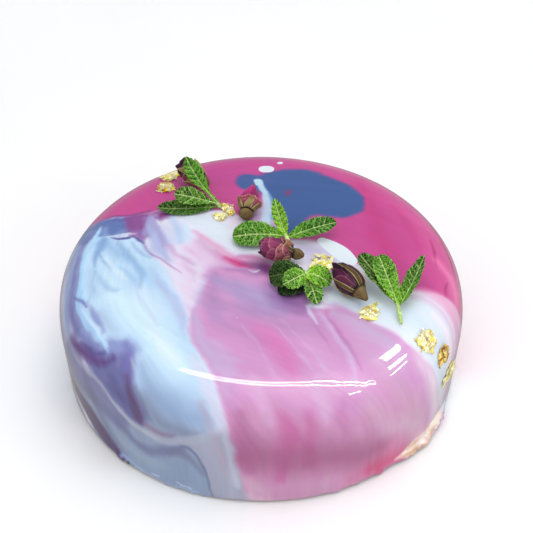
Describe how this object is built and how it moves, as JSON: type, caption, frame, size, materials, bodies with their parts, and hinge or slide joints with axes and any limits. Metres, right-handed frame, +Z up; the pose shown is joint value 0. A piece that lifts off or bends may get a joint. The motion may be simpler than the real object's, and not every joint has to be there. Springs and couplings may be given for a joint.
{
  "type": "ice cream cake",
  "caption": "Round frozen cake with a wide soft shoulder under marbled mirror glaze, on a thin biscuit, dressed with mint tips, dried rosebuds and gold leaf.",
  "frame": {"origin": "centre of the biscuit's underside, where the cake stands on its plate", "axes": "+Z up along the cake's axis, -Y towards the side the picture was taken from, +X to that side's right"},
  "size_m": [0.1801, 0.1799, 0.0767],
  "materials": {
    "mirror_glaze": "glossy marbled mirror glaze",
    "biscuit": "baked crumb",
    "mint": "fresh veined leaf",
    "dried_rose": "dry wrinkled petals"
  },
  "bodies": {
    "root": {"glazed_cake": "mirror_glaze", "biscuit_base": "biscuit", "mint_sprig_back": "mint", "mint_sprig_middle": "mint", "mint_sprig_front": "mint", "mint_sprig_right": "mint", "rosebud_back": "dried_rose", "rosebud_left": "dried_rose", "rosebud_middle": "dried_rose", "rosebud_right": "dried_rose"}
  },
  "joints": []
}
